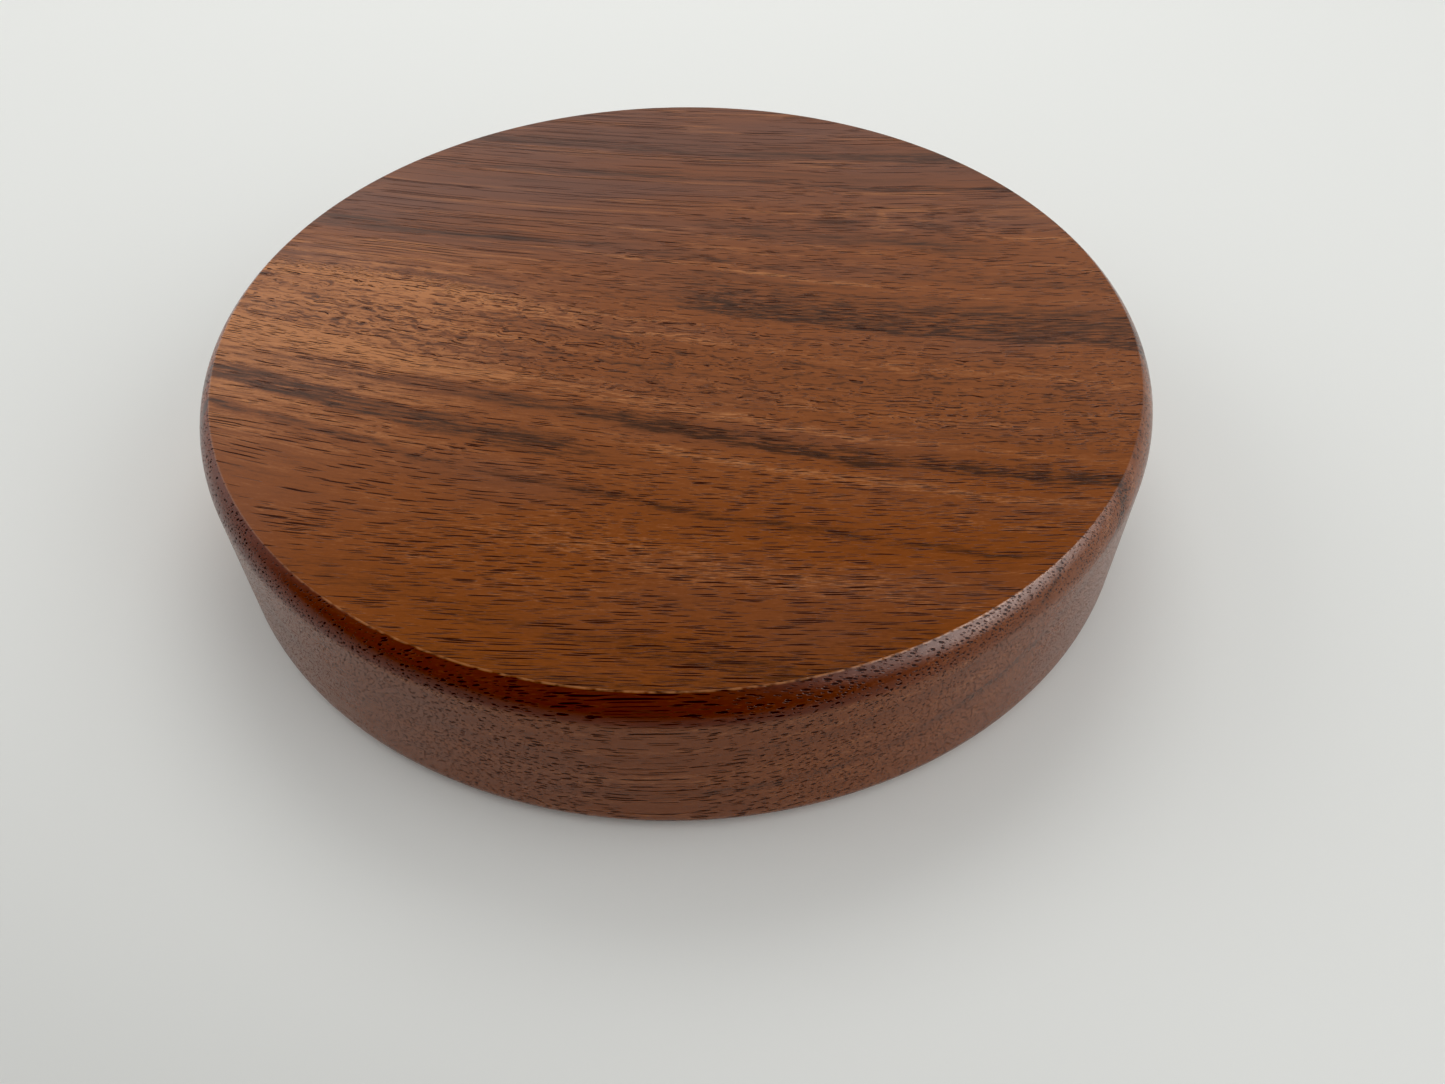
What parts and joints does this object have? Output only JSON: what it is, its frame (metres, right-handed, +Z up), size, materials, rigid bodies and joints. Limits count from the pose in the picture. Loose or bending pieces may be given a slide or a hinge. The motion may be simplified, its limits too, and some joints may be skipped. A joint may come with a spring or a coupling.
{
  "type": "dealer button",
  "caption": "Solid walnut disc with a rounded top edge and an eased bottom edge, slid round a card table to mark the dealer.",
  "frame": {"origin": "centre of the flat underside", "axes": "+Z up along the disc's axis, from the underside to the top face; the wood grain runs along X"},
  "size_m": [0.1016, 0.1016, 0.0191],
  "materials": {
    "walnut": "satin"
  },
  "bodies": {
    "root": {"walnut_disc": "walnut"}
  },
  "joints": []
}
